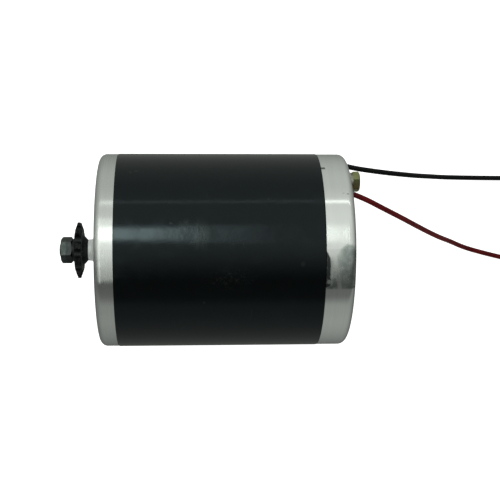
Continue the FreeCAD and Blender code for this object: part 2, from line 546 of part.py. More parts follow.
put("inner_leads", Part.makeCompound(inl))

# ---------------------------------------------------------------- free leads
# Each lead leaves its grommet, drops to the surface and runs along it to a tied coil of spare length.
# Points are (x, y, z) in motor coordinates; the surface is at z = -54.
ZS = -Z_OFF + LEAD_D / 2.0
BLACK_ROUTE = [(X_EXIT, 46.8, 7.2), (88.0, 45.62, 7.4), (97.0, 44.27, 7.1), (108.0, 43.17, 4.0), (119.0, 42.94, -5.0), (130.0, 43.23, -18.5), (140.0, 43.99, -33.0),
               (151.0, 44.36, -45.0), (165.0, 44.55, -51.7), (184.0, 44.36, ZS), (202.0, 44.30, ZS)]
RED_ROUTE = [(X_EXIT, 29.25, 35.7), (89.6, 26.83, 35.9), (99.0, 22.23, 33.5), (111.0, 17.18, 26.0), (123.0, 12.62, 13.0), (134.0, 9.18, -3.0),
             (144.0, 6.70, -20.0), (154.0, 4.66, -36.0), (166.0, 0.77, -48.0), (180.0, -2.75, -52.3), (192.5, -5.75, ZS), (204.84, -8.51, ZS)]
COIL_R = 15.0
COIL_PITCH = 3.0         # rise of the winding per turn
BLACK_COIL = dict(c=(209.5, 29.3), head=0.0, turns=2.25)
RED_COIL = dict(c=(209.0, -25.0), head=-14.0, turns=(810.0 - 14.0) / 360.0)
TAIL = 10.5              # straight tail from the coil to the terminal sleeve
SLEEVE_L = 10.0


def on_coil(coil, turned_deg):
    """Centre-line point of a coil after turning clockwise by an angle."""
    h = math.radians(coil["head"] - turned_deg)
    return V(coil["c"][0] - COIL_R * math.sin(h), coil["c"][1] + COIL_R * math.cos(h), ZS + COIL_PITCH * turned_deg / 360.0)


def lead(route, label):
    d = (V(*route[1]) - V(*route[0])).normalize()
    first = V(*route[0]) - d * 1.2
    t = tube_path([tuple(first)] + list(route[1:]), LEAD_D, label=label)
    return t.cut(Part.makeBox(6, 20, 20, V(X_EXIT - 6, route[0][1] - 10, route[0][2] - 10)))


def terminal(start, tilt):
    """Insulating sleeve and ring tongue, pointing along -Y and down by a tilt."""
    sl = rev([(0, 0), (0, 2.0), (0.8, 2.25), (8.8, 2.45), (SLEEVE_L, 2.25), (SLEEVE_L, 0)])
    x0 = SLEEVE_L
    e = [V(x0, -1.7, -0.4), V(x0 + 2.0, -1.7, -0.4), V(x0 + 4.2, -2.6, -0.4), V(x0 + 4.2, 2.6, -0.4), V(x0 + 2.0, 1.7, -0.4), V(x0, 1.7, -0.4), V(x0, -1.7, -0.4)]
    m = Part.Face(Part.makePolygon(e)).extrude(V(0, 0, 0.8))
    m = m.fuse(Part.makeCylinder(4.3, 0.8, V(x0 + 7.2, 0, -0.4), V(0, 0, 1)))
    m = m.fuse(rev([(x0, 0), (x0, 1.75), (x0 + 0.6, 1.75), (x0 + 1.8, 0.4), (x0 + 1.8, 0)]))
    m = m.cut(Part.makeCylinder(2.65, 3, V(x0 + 7.2, 0, -1.5), V(0, 0, 1))).removeSplitter()
    out = []
    for s in (sl, m):
        s.rotate(V(0, 0, 0), V(0, 1, 0), tilt)
        s.rotate(V(0, 0, 0), V(0, 0, 1), -90)
        s.translate(start)
        out.append(s)
    return out


ties = []
for name, route, coil in (("black", BLACK_ROUTE, BLACK_COIL), ("red", RED_ROUTE, RED_COIL)):
    NODES_LOCAL[name + "_lead"] = lead(route, name + " lead")
    put(name + "_lead", NODES_LOCAL[name + "_lead"])
    end = on_coil(coil, coil["turns"] * 360.0)
    drop = math.degrees(math.atan((end.z + Z_OFF - 0.75) / (TAIL + SLEEVE_L + 11.5)))
    tail_dir = V(0, -math.cos(math.radians(drop)), -math.sin(math.radians(drop)))
    cx, cy = coil["c"]
    zt = -Z_OFF + COIL_PITCH * (coil["turns"] - 1.0) + LEAD_D
    body = Part.makeCylinder(COIL_R + LEAD_D / 2, zt + Z_OFF, V(cx, cy, -Z_OFF)).cut(
        Part.makeCylinder(COIL_R - LEAD_D / 2, 20, V(cx, cy, -Z_OFF - 1)))
    s0 = on_coil(coil, 0.0)
    h = math.radians(coil["head"])
    join = V(*route[-1])
    body = body.fuse(Part.makeCylinder(LEAD_D / 2 - 0.03, (s0 - join).Length, join, (s0 - join).normalize()))
    body = body.fuse(Part.makeCylinder(LEAD_D / 2, TAIL + 1.0, end - tail_dir * 1.0, tail_dir))
    body = body.fuse(Part.makeSphere(LEAD_D / 2, end - tail_dir * 1.0))
    # last quarter turn, lying on top of the others
    for k in range(9):
        p = on_coil(coil, coil["turns"] * 360.0 - 90.0 + k * 11.25)
        q = on_coil(coil, coil["turns"] * 360.0 - 90.0 + min(k + 1, 8) * 11.25)
        if k < 8:
            body = body.fuse(Part.makeCylinder(LEAD_D / 2 - 0.02, (q - p).Length, p, (q - p).normalize()))
    # tie round the bundle on the side away from the motor's leads
    ty = cy - COIL_R
    outer = Part.makeBox(2.5, LEAD_D + 2.2, 8.4, V(cx - 1.25, ty - LEAD_D / 2 - 1.1, -Z_OFF + 0.1))
    hollow = Part.makeBox(4.5, LEAD_D + 0.5, 6.6, V(cx - 2.25, ty - LEAD_D / 2 - 0.25, -Z_OFF + 1.0))
    head = Part.makeBox(4.2, 3.0, 3.6, V(cx - 2.1, ty - LEAD_D / 2 - 3.6, -Z_OFF + 2.2))
    strip = Part.makeBox(2.3, 6.0, 0.9, V(cx - 1.15, ty - LEAD_D / 2 - 9.0, -Z_OFF + 3.4))
    tie = fuse([outer.cut(hollow), head, strip])
    ties.append(tie)
    around = Part.makeBox(2.5, LEAD_D + 4, 20, V(cx - 1.25, ty - LEAD_D / 2 - 2, -Z_OFF - 2)).cut(hollow)
    body = body.cut(around).cut(NODES_LOCAL[name + "_lead"])
    put(name + "_lead_coil", body)
    sl, m = terminal(end + tail_dir * TAIL, drop)
    put(name + "_terminal_sleeve", sl)
    put(name + "_terminal", m)
put("coil_ties", Part.makeCompound(ties))

# ---------------------------------------------------------------- export
total = 0.0
for name in sorted(NODES):
    s = NODES[name]
    bb = s.optimalBoundingBox(True, False)
    total += s.Volume
    ok = s.isValid() and len(s.Solids) >= 1 and s.Volume > 0
    print("%-28s solids %2d valid %s vol %.1f  x %.2f..%.2f y %.2f..%.2f z %.3f..%.2f" % (
        name, len(s.Solids), ok, s.Volume, bb.XMin, bb.XMax, bb.YMin, bb.YMax, bb.ZMin, bb.ZMax))
    s.exportStep("parts/%s.step" % name)
print(len(NODES), "nodes", "offset", X_OFF, Z_OFF)
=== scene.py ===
import bpy
import json
import math
from mathutils import Matrix, Vector


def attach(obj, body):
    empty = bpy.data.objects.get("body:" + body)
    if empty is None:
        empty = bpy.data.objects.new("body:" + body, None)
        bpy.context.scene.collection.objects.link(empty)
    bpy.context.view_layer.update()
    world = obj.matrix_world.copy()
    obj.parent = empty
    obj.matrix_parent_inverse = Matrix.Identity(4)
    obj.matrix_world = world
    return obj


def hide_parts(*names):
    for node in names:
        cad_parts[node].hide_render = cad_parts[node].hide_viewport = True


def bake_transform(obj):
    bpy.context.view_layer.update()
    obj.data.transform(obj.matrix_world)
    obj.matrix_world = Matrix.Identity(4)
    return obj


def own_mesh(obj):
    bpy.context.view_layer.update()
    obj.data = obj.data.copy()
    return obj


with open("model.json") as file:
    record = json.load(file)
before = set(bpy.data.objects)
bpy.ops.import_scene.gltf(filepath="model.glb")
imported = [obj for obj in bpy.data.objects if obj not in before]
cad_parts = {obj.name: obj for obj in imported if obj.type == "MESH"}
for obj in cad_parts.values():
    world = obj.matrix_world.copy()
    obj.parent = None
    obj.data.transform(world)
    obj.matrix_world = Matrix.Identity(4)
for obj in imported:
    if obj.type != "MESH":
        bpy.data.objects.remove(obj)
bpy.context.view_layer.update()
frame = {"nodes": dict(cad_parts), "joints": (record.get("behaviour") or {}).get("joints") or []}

N = frame["nodes"]
scene = bpy.context.scene

# ------------------------------------------------------------------ camera
# Motor coordinates: shaft axis = X axis.  The row frame sits 5.7 mm and 54 mm away from them.
X_OFF, Z_OFF = -5.7, 54.0


def row(x, y, z):
    return Vector(((x + X_OFF) / 1000.0, y / 1000.0, (z + Z_OFF) / 1000.0))


cam_data = bpy.data.cameras.new("camera")
cam = bpy.data.objects.new("camera", cam_data)
scene.collection.objects.link(cam)
right = Vector((0.998316917, -0.0036337631, 0.0578802956))
up = Vector((0.00359385559, 0.999993227, 0.000793562919))
back = Vector((-0.0578827872, -0.000584213863, 0.998323215))
rot = Matrix((right, up, back)).transposed()
cam.matrix_world = Matrix.Translation(row(-3.62, -0.67, 576.09)) @ rot.to_4x4()
cam_data.sensor_fit = "HORIZONTAL"
cam_data.sensor_width = 36.0
cam_data.lens = 1016.27 / 500.0 * 36.0
cam_data.clip_start = 0.01
cam_data.clip_end = 50.0
scene.camera = cam


# ------------------------------------------------------------------ node helpers
class Mat:
    """A small builder for procedural materials."""

    def __init__(self, name):
        self.m = bpy.data.materials.new(name)
        self.m.use_nodes = True
        self.t = self.m.node_tree
        self.t.nodes.clear()
        self.out = self.t.nodes.new("ShaderNodeOutputMaterial")
        self.p = self.t.nodes.new("ShaderNodeBsdfPrincipled")
        self.t.links.new(self.p.outputs[0], self.out.inputs[0])

    def node(self, kind, props=None, **ins):
        n = self.t.nodes.new(kind)
        for k, v in (props or {}).items():
            setattr(n, k, v)
        for k, v in ins.items():
            self.put(n.inputs[int(k[1:]) if k[0] == "i" and k[1:].isdigit() else k], v)
        return n

    def put(self, socket, v):
        if isinstance(v, bpy.types.NodeSocket):
            self.t.links.new(v, socket)
        else:
            socket.default_value = v

    def set(self, **kw):
        names = {"color": "Base Color", "metal": "Metallic", "rough": "Roughness", "ior": "IOR", "spec": "Specular IOR Level",
                 "coat": "Coat Weight", "coat_rough": "Coat Roughness", "aniso": "Anisotropic", "aniso_rot": "Anisotropic Rotation",
                 "tangent": "Tangent", "normal": "Normal", "sheen": "Sheen Weight", "subsurf": "Subsurface Weight", "tint": "Specular Tint"}
        for k, v in kw.items():
            self.put(self.p.inputs[names[k]], v)
        return self

    def math(self, op, a, b=0.0, c=0.0, clamp=False):
        n = self.t.nodes.new("ShaderNodeMath")
        n.operation = op
        n.use_clamp = clamp
        self.put(n.inputs[0], a)
        self.put(n.inputs[1], b)
        self.put(n.inputs[2], c)
        return n.outputs[0]

    def rng(self, v, a, b, c=0.0, d=1.0, smooth=False):
        n = self.t.nodes.new("ShaderNodeMapRange")
        n.interpolation_type = "SMOOTHSTEP" if smooth else "LINEAR"
        self.put(n.inputs[0], v)
        for i, x in enumerate((a, b, c, d)):
            self.put(n.inputs[i + 1], x)
        return n.outputs[0]

    def mix(self, f, a, b, mode="MIX"):
        n = self.t.nodes.new("ShaderNodeMix")
        n.data_type = "RGBA"
        n.blend_type = mode
        self.put(n.inputs[0], f)
        self.put(n.inputs[6], a)
        self.put(n.inputs[7], b)
        return n.outputs[2]

    def pos(self):
        c = self.node("ShaderNodeTexCoord")
        return c.outputs["Object"]

    def noise(self, vec, scale, detail=2.0, rough=0.5, dist=0.0):
        n = self.node("ShaderNodeTexNoise", None, Vector=vec, Scale=scale, Detail=detail, Roughness=rough, Distortion=dist)
        return n.outputs[0]

    def scaled(self, vec, sx, sy, sz, loc=(0, 0, 0)):
        n = self.node("ShaderNodeMapping", None, Vector=vec)
        n.inputs["Location"].default_value = loc
        n.inputs["Scale"].default_value = (sx, sy, sz)
        return n.outputs[0]

    def bump(self, h, strength, dist=0.001, normal=None):
        n = self.node("ShaderNodeBump", None, Height=h, Strength=strength, Distance=dist)
        if normal is not None:
            self.put(n.inputs["Normal"], normal)
        return n.outputs[0]

    def cylindrical(self):
        """(x, radius, angle from +Y towards +Z) about the shaft axis in motor coordinates, metres and radians."""
        s = self.node("ShaderNodeSeparateXYZ", None, Vector=self.pos())
        x, y = self.math("SUBTRACT", s.outputs[0], X_OFF / 1000.0), s.outputs[1]
        z = self.math("SUBTRACT", s.outputs[2], Z_OFF / 1000.0)
        r = self.math("SQRT", self.math("ADD", self.math("MULTIPLY", y, y), self.math("MULTIPLY", z, z)))
        a = self.math("ARCTAN2", z, y)
        return x, r, a, y, z

    def patch(self, x, a, x0, a0, rx, ra, soft=0.4):
        """1 inside an oval at x0 mm and a0 degrees, with half-sizes rx mm and ra degrees."""
        u = self.math("DIVIDE", self.math("SUBTRACT", x, x0 / 1000.0), rx / 1000.0)
        v = self.math("DIVIDE", self.math("SUBTRACT", a, math.radians(a0)), math.radians(ra))
        d = self.math("SQRT", self.math("ADD", self.math("MULTIPLY", u, u), self.math("MULTIPLY", v, v)))
        return self.rng(d, 1.0 - soft, 1.0 + soft, 1.0, 0.0, True)

    def xyz(self, x, y, z):
        return self.node("ShaderNodeCombineXYZ", None, X=x, Y=y, Z=z).outputs[0]


def give(mat, *names):
    for n in names:
        o = N[n] if isinstance(n, str) else n
        if not o.material_slots:
            o.data.materials.append(mat.m)
        for s in o.material_slots:
            s.material = mat.m


def col(r, g, b):
    """sRGB 0-255 to linear."""
    f = lambda c: (c / 255.0 / 12.92) if c <= 10 else ((c / 255.0 + 0.055) / 1.055) ** 2.4
    return (f(r), f(g), f(b), 1.0)


# ------------------------------------------------------------------ materials
# --- satin black paint on the yoke tube
def paint():
    m = Mat("black_paint")
    x, r, a, y, z = m.cylindrical()
    p = m.pos()
    fine = m.noise(p, 900.0, 3.0, 0.6)
    broad = m.noise(m.scaled(p, 22, 60, 60), 1.0, 3.0, 0.55)
    blot = m.noise(m.scaled(p, 60, 90, 90, (3.1, 1.7, 0.2)), 1.0, 4.0, 0.6, 0.4)
    wear = m.rng(blot, 0.5, 0.72, 0, 1, True)
    # brush marks that run round the tube, and long hair scratches round it and along it
    streak = m.noise(m.scaled(m.xyz(x, a, r), 150, 3.4, 1.0, (2.0, 0.6, 0)), 1.0, 2.0, 0.5, 0.25)
    sx = m.noise(m.scaled(m.xyz(x, a, r), 260, 1.1, 1.0, (7.0, 2.0, 0)), 1.0, 3.0, 0.7)
    sc1 = m.rng(sx, 0.66, 0.7, 0, 1, True)
    sy = m.noise(m.scaled(m.xyz(x, a, r), 9, 60.0, 1.0, (1.0, 5.0, 0)), 1.0, 3.0, 0.75)
    sc2 = m.rng(sy, 0.7, 0.73, 0, 1, True)
    gate = m.rng(m.noise(m.scaled(p, 30, 45, 45, (0.4, 9.0, 2.0)), 1.0, 2.0), 0.52, 0.66, 0, 1, True)
    scr = m.math("MULTIPLY", m.math("MAXIMUM", m.math("MULTIPLY", sc1, 0.35), sc2), gate)
    # a scuffed place under the middle of the tube's front, and a few dull specks
    rub = m.noise(m.scaled(m.xyz(x, a, r), 520, 34.0, 1.0, (0.0, 3.0, 0)), 1.0, 4.0, 0.75, 1.2)
    scuff = m.math("MULTIPLY", m.rng(rub, 0.52, 0.66, 0, 1, True), m.math("MAXIMUM", m.patch(x, a, 17.0, 106.5, 10.0, 5.5, 0.6), m.patch(x, a, 21.0, 86.5, 16.0, 2.2, 0.7)))
    for k, spot in enumerate([(-32.6, 39.3, 0.9, 1.0), (-35.6, 40.6, 0.7, 0.8), (54.1, 98.2, 1.1, 1.3), (-14.0, 75.5, 0.8, 0.7), (37.0, 61.0, 0.6, 0.6), (3.0, 121.0, 0.7, 0.7)]):
        one = m.math("MULTIPLY", m.patch(x, a, *spot, 0.5), 0.8)
        scuff = m.math("MAXIMUM", scuff, one)
    c = m.mix(m.rng(broad, 0.3, 0.7), (0.0007, 0.0009, 0.0009, 1), (0.0012, 0.0014, 0.0014, 1))
    c = m.mix(m.math("MULTIPLY", wear, 0.3), c, (0.004, 0.005, 0.005, 1))
    c = m.mix(m.math("MULTIPLY", scr, 0.4), c, (0.03, 0.033, 0.032, 1))
    c = m.mix(m.math("MULTIPLY", scuff, 0.45), c, (0.024, 0.025, 0.022, 1))
    # painted highlight: lighter smeared patches in the paint, laid on the bright blotches of the highlight near the
    # top of the tube
    painted_highlight_smear = m.noise(m.scaled(m.xyz(x, a, r), 420, 7.0, 1.0, (4.1, 0.3, 0)), 1.0, 3.0, 0.6, 0.8)
    painted_highlight_smear = m.math("MULTIPLY", m.rng(painted_highlight_smear, 0.40, 0.62, 0.2, 1, True), m.math("MAXIMUM", m.patch(x, a, 0.9, 82.3, 4.2, 6.5, 0.7), m.patch(x, a, -6.6, 77.2, 2.8, 3.2, 0.7)))
    c = m.mix(m.math("MULTIPLY", painted_highlight_smear, 0.5), c, (0.050, 0.053, 0.050, 1))
    rough = m.math("ADD", m.rng(broad, 0.25, 0.75, 0.09, 0.13), m.math("MULTIPLY", wear, 0.06))
    rough = m.math("ADD", rough, m.math("MULTIPLY", m.rng(streak, 0.42, 0.62, 0, 1, True), 0.04))
    rough = m.math("ADD", rough, m.math("MULTIPLY", m.math("MAXIMUM", scr, scuff), 0.15))
    h = m.math("ADD", m.math("MULTIPLY", fine, 0.35), m.math("MULTIPLY", scr, -0.5))
    smear = m.patch(x, a, -2.0, 82.0, 9.0, 11.0, 0.5)
    marks = m.noise(m.scaled(m.xyz(x, a, r), 260, 9.0, 1.0, (0.7, 1.6, 0)), 1.0, 2.5, 0.5, 0.6)
    marks = m.math("ADD", m.math("MULTIPLY", streak, m.rng(x, 0.001, 0.009, 0.25, 0.06, True)), m.math("MULTIPLY", m.math("MULTIPLY", marks, smear), 0.75))
    wavy = m.bump(m.math("ADD", blot, marks), 0.5, 0.00013)
    m.set(color=c, rough=rough, spec=0.31, tint=(0.82, 1.0, 1.10, 1), normal=m.bump(h, 0.05, 0.0002, wavy))
    return m


# --- turned aluminium of the caps
def turned_alu(name, rear):
    m = Mat(name)
    x, r, a, y, z = m.cylindrical()
    u = m.math("ADD", x, r)
    lines = m.noise(m.xyz(m.math("MULTIPLY", u, 5200.0), m.math("MULTIPLY", a, 1.3), 0.0), 1.0, 3.0, 0.65)
    wide = m.noise(m.xyz(m.math("MULTIPLY", u, 900.0), m.math("MULTIPLY", a, 0.6), 3.0), 1.0, 2.0, 0.5)
    cloud = m.noise(m.scaled(m.pos(), 70, 70, 70, (0.3, 2.2, 5.0)), 1.0, 4.0, 0.6, 0.3)
    grime = m.noise(m.scaled(m.pos(), 260, 260, 260, (1.0, 0.2, 4.0)), 1.0, 4.0, 0.65, 0.5)
    # the front cap's tones are lower than the rear's: partly a duller finish, partly painted shade on the same
    # aluminium
    lo, hi = ((0.93, 0.935, 0.93, 1), (0.975, 0.98, 0.975, 1)) if rear else ((0.80, 0.805, 0.80, 1), (0.85, 0.855, 0.85, 1))
    c = m.mix(m.rng(wide, 0.3, 0.7), lo, hi)
    c = m.mix(m.math("MULTIPLY", m.rng(lines, 0.55, 0.8), 0.12), c, (0.52, 0.53, 0.53, 1))
    c = m.mix(m.math("MULTIPLY", m.rng(cloud, 0.5, 0.75, 0, 1, True), 0.12), c, (0.5, 0.52, 0.53, 1))
    rough = m.rng(wide, 0.25, 0.75, *((0.15, 0.19) if rear else (0.25, 0.29)))
    metallic = 1.0
    if rear:
        speckle = m.noise(m.scaled(m.pos(), 900, 900, 900, (0.5, 3.0, 1.0)), 1.0, 3.0, 0.6)
        # a darker teal-grey patch low on the side, under a slanted edge, with a lighter line across it
        soft = m.noise(m.scaled(m.pos(), 150, 150, 150, (2.0, 0.7, 1.3)), 1.0, 2.0, 0.45, 0.2)
        edge = m.math("SUBTRACT", a, m.math("SUBTRACT", math.radians(95.6), m.math("MULTIPLY", m.math("SUBTRACT", m.math("MINIMUM", x, 0.0772), 0.067), 15.5)))
        edge = m.math("ADD", edge, m.math("MULTIPLY", m.math("SUBTRACT", soft, 0.5), 0.07))
        outside = m.rng(r, 0.0485, 0.0525, 0, 1, True)
        low_dark_band = m.math("MULTIPLY", m.math("MULTIPLY", outside, m.rng(edge, 0.0, 0.045, 0, 1, True)), m.rng(a, math.radians(112.2), math.radians(113.5), 1, 0, True))
        mid = m.math("SUBTRACT", m.math("SUBTRACT", x, 0.0702), m.math("MULTIPLY", m.math("SUBTRACT", a, math.radians(91.6)), 0.0098))
        lighter_line = m.rng(m.math("ABSOLUTE", mid), 0.0006, 0.0016, 0.25, 1.0, True)
        low_dark_patch = m.math("MULTIPLY", m.math("MULTIPLY", low_dark_band, lighter_line), m.math("MULTIPLY", m.rng(soft, 0.36, 0.6, 0.62, 1.0, True), m.rng(grime, 0.36, 0.6, 0.80, 1.0, True)))
        low = m.rng(m.math("SUBTRACT", a, m.math("MULTIPLY", m.math("SUBTRACT", soft, 0.5), 0.16)), math.radians(103.5), math.radians(108.5), 0.0, 1.0, True)
        low = m.math("MAXIMUM", low, m.rng(x, 0.0695, 0.0775, 0.40, 0.92, True))
        c = m.mix(m.math("MULTIPLY", m.math("MULTIPLY", low_dark_patch, low), 0.82), c, (0.14, 0.19, 0.18, 1))
        # paint of the tube that has run over the joint
        reach = m.math("ADD", m.rng(a, math.radians(79), math.radians(91), -0.0003, 0.0005, True), m.rng(a, math.radians(90.0), math.radians(96.0), 0, 0.0025, True))
        reach = m.math("MULTIPLY", reach, m.rng(a, math.radians(110.6), math.radians(112.6), 1, 0, True))
        out = m.math("SUBTRACT", m.math("ADD", m.math("SUBTRACT", x, 0.0660), m.math("ADD", m.math("MULTIPLY", m.math("SUBTRACT", soft, 0.5), 0.0024), m.math("MULTIPLY", m.math("SUBTRACT", grime, 0.5), 0.0010))), reach)
        over = m.math("MULTIPLY", m.rng(out, -0.0005, 0.0003, 1, 0, True), m.rng(speckle, 0.56, 0.70, 1.0, 0.80, True))
        over = m.math("MAXIMUM", over, m.math("MULTIPLY", m.math("MULTIPLY", m.rng(out, -0.0005, 0.0017, 1, 0, True), m.rng(a, math.radians(95), math.radians(98), 0, 1, True)), m.rng(a, math.radians(109), math.radians(112), 0.45, 0, True)))
        over = m.math("MULTIPLY", over, m.rng(m.patch(x, a, 67.9, 108.5, 1.0, 1.1, 0.4), 0, 1, 1, 0.45))
        # a nick across the joint and two faint marks
        nick = m.math("MULTIPLY", m.rng(m.math("ABSOLUTE", m.math("SUBTRACT", a, math.radians(36.0))), 0.0160, 0.0230, 1, 0, True), m.rng(x, 0.0683, 0.0691, 1, 0, True))
        marks = m.math("MAXIMUM", m.patch(x, a, 78.9, 57.4, 0.7, 0.6), m.math("MULTIPLY", m.patch(x, a, 76.6, 56.9, 0.6, 0.4), 0.6))
        c = m.mix(m.math("MULTIPLY", marks, 0.45), c, (0.25, 0.26, 0.25, 1))
        dark = m.math("MAXIMUM", over, m.math("MULTIPLY", nick, 0.92))
        c = m.mix(dark, c, (0.014, 0.017, 0.017, 1))
        metallic = m.math("SUBTRACT", 1.0, dark)
        rough = m.math("ADD", rough, m.math("MULTIPLY", m.math("ADD", dark, low_dark_patch), 0.12))
    else:
        # a pale, chalky place low on the side
        pale = m.math("MULTIPLY", m.patch(x, a, -50.2, 98.5, 2.6, 6.5, 0.6), m.rng(grime, 0.42, 0.62, 0, 1, True))
        c = m.mix(m.math("MULTIPLY", pale, 0.6), c, (0.92, 0.94, 0.95, 1))
    h = m.math("ADD", m.math("MULTIPLY", lines, 0.7), m.math("MULTIPLY", wide, 0.4))
    tan = m.node("ShaderNodeTangent", {"direction_type": "RADIAL", "axis": "X"})
    m.set(color=c, metal=metallic, rough=rough, aniso=0.85 if rear else 1.0, aniso_rot=0.25, tangent=tan.outputs[0], normal=m.bump(h, 0.05, 0.0001))
    return m


give(paint(), "yoke_tube")
give(turned_alu("turned_aluminium_front", False), "front_cap")
give(turned_alu("turned_aluminium_rear", True), "rear_cap")


def metal(name, a, b, r0, r1, scale=900.0, metallic=1.0, spots=None, bump=0.05, detail=4.0):
    """A metal with a grain, two tones and optional darker spots."""
    m = Mat(name)
    p = m.pos()
    g = m.noise(p, scale, detail, 0.6)
    big = m.noise(p, scale * 0.16, 3.0, 0.55, 0.3)
    c = m.mix(m.rng(big, 0.3, 0.7, 0, 1, True), a + (1,), b + (1,))
    if spots:
        c = m.mix(m.math("MULTIPLY", m.rng(m.noise(p, scale * 0.5, 3.0, 0.7), 0.6, 0.75, 0, 1, True), spots[3]), c, spots[:3] + (1,))
    m.set(color=c, metal=metallic, rough=m.rng(g, 0.25, 0.75, r0, r1), normal=m.bump(g, bump, 0.0002))
    return m


black_oxide = metal("black_oxide", (0.012, 0.013, 0.014), (0.03, 0.032, 0.034), 0.30, 0.46, 700.0, 0.75, (0.10, 0.10, 0.10, 0.4), 0.12)
give(black_oxide, "sprocket_lock_washer")


def oiled_teeth():
    """Black oxide that is wet with chain oil, and darker, out on the teeth."""
    m = Mat("oiled_black_oxide")
    x, r, a, y, z = m.cylindrical()
    p = m.pos()
    g = m.noise(p, 700.0, 4.0, 0.6)
    big = m.noise(p, 260.0, 3.0, 0.6, 0.4)
    c = m.mix(m.rng(big, 0.3, 0.7, 0, 1, True), (0.014, 0.016, 0.017, 1), (0.034, 0.038, 0.038, 1))
    c = m.mix(m.math("MULTIPLY", m.rng(m.noise(p, 420.0, 3.0, 0.7), 0.6, 0.75, 0, 1, True), 0.4), c, (0.10, 0.10, 0.10, 1))
    oil = m.rng(m.math("ADD", r, m.math("MULTIPLY", m.math("SUBTRACT", big, 0.5), 0.004)), 0.0105, 0.0135, 0, 1, True)
    c = m.mix(oil, c, (0.006, 0.007, 0.007, 1))
    m.set(color=c, metal=m.rng(oil, 0, 1, 0.75, 0.35), rough=m.math("ADD", m.rng(g, 0.25, 0.75, 0.28, 0.44), m.math("MULTIPLY", oil, 0.08)), spec=0.22, normal=m.bump(g, 0.12, 0.0002))
    return m


give(oiled_teeth(), "drive_sprocket")


def worn_nut():
    """Black oxide, rubbed brighter at its outer end."""
    m = Mat("worn_black_oxide")
    x, r, a, y, z = m.cylindrical()
    g = m.noise(m.pos(), 700.0, 4.0, 0.6)
    big = m.noise(m.pos(), 330.0, 3.0, 0.6, 0.4)
    outer = m.rng(m.math("ADD", x, m.math("MULTIPLY", m.math("SUBTRACT", big, 0.5), 0.004)), -0.0739, -0.0728, 1, 0, True)
    c = m.mix(m.rng(big, 0.35, 0.65, 0, 1, True), (0.030, 0.033, 0.034, 1), (0.045, 0.049, 0.050, 1))
    c = m.mix(outer, c, m.mix(m.rng(big, 0.4, 0.7, 0, 1, True), (0.046, 0.055, 0.053, 1), (0.096, 0.107, 0.102, 1)))
    m.set(color=c, metal=1.0, rough=m.rng(g, 0.25, 0.75, 0.26, 0.40), normal=m.bump(g, 0.10, 0.0002))
    return m


def shaft_steel():
    """Ground steel, with a pale, dull band where the shaft enters the front cap: a painted highlight standing in for
    glare on the shaft.
    """
    m = Mat("ground_steel")
    x, r, a, y, z = m.cylindrical()
    g = m.noise(m.xyz(m.math("MULTIPLY", x, 3500.0), m.math("MULTIPLY", a, 2.0), 0.0), 1.0, 3.0, 0.6)
    big = m.noise(m.pos(), 260.0, 3.0, 0.6, 0.3)
    # painted highlight: a pale, dull, barely metallic band on the shaft between the sprocket hub and the front cap
    # stands in for glare
    painted_glare_band = m.math("MULTIPLY", m.rng(x, -0.0613, -0.0609, 0, 1, True), m.rng(x, -0.0560, -0.0555, 1, 0, True))
    c = m.mix(m.rng(big, 0.3, 0.7, 0, 1, True), (0.62, 0.62, 0.61, 1), (0.74, 0.74, 0.73, 1))
    c = m.mix(painted_glare_band, c, m.mix(m.rng(big, 0.35, 0.65, 0, 1, True), (0.82, 0.82, 0.83, 1), (0.92, 0.91, 0.92, 1)))
    m.set(color=c, metal=m.rng(painted_glare_band, 0, 1, 1.0, 0.1), rough=m.math("ADD", m.rng(g, 0.25, 0.75, 0.16, 0.28), m.math("MULTIPLY", painted_glare_band, 0.25)), normal=m.bump(g, 0.08, 0.0001))
    return m


give(worn_nut(), "shaft_nut")
give(shaft_steel(), "rotor_shaft")
give(metal("yellow_zinc", (0.27, 0.29, 0.125), (0.38, 0.41, 0.20), 0.24, 0.40, 600.0, 1.0, (0.19, 0.20, 0.09, 0.6), 0.08), "through_bolts", "brush_plate_screws")
# lock washers: grey zinc, darkened and browned as painted shade between the rear cap and the bolt heads
give(metal("grey_zinc_with_painted_shade", (0.24, 0.235, 0.21), (0.34, 0.33, 0.30), 0.32, 0.46, 600.0, 1.0, (0.20, 0.15, 0.11, 0.5), 0.08), "bolt_lock_washers")
give(metal("bearing_steel", (0.66, 0.66, 0.67), (0.78, 0.78, 0.79), 0.08, 0.16, 900.0, 1.0, None, 0.02), "front_bearing_inner_ring", "front_bearing_outer_ring", "front_bearing_balls",
     "rear_bearing_inner_ring", "rear_bearing_outer_ring", "rear_bearing_balls")
give(metal("pressed_steel", (0.42, 0.42, 0.40), (0.55, 0.55, 0.53), 0.25, 0.4, 700.0), "front_bearing_cage", "rear_bearing_cage", "front_bearing_shields", "rear_bearing_shields")
spring_steel = metal("spring_steel", (0.30, 0.30, 0.31), (0.42, 0.42, 0.42), 0.25, 0.42, 900.0)
give(spring_steel, "magnet_clips", "front_bearing_circlip", "rear_preload_washer", "brush_spring_1", "brush_spring_2", "brush_spring_3", "brush_spring_4")
give(metal("ferrite", (0.05, 0.05, 0.055), (0.085, 0.085, 0.09), 0.55, 0.75, 500.0, 0.0, (0.16, 0.16, 0.16, 0.5), 0.2), "field_magnets")
give(metal("tin_plate", (0.60, 0.60, 0.57), (0.74, 0.73, 0.70), 0.22, 0.36, 800.0), "black_terminal", "red_terminal")
give(metal("brass_strip", (0.66, 0.46, 0.16), (0.78, 0.58, 0.25), 0.22, 0.38, 700.0, 1.0, (0.4, 0.26, 0.10, 0.5)), "brush_boxes")
give(metal("carbon", (0.03, 0.03, 0.032), (0.06, 0.06, 0.062), 0.45, 0.6, 900.0, 0.2, (0.12, 0.12, 0.12, 0.3), 0.15), "carbon_brush_1", "carbon_brush_2", "carbon_brush_3", "carbon_brush_4")


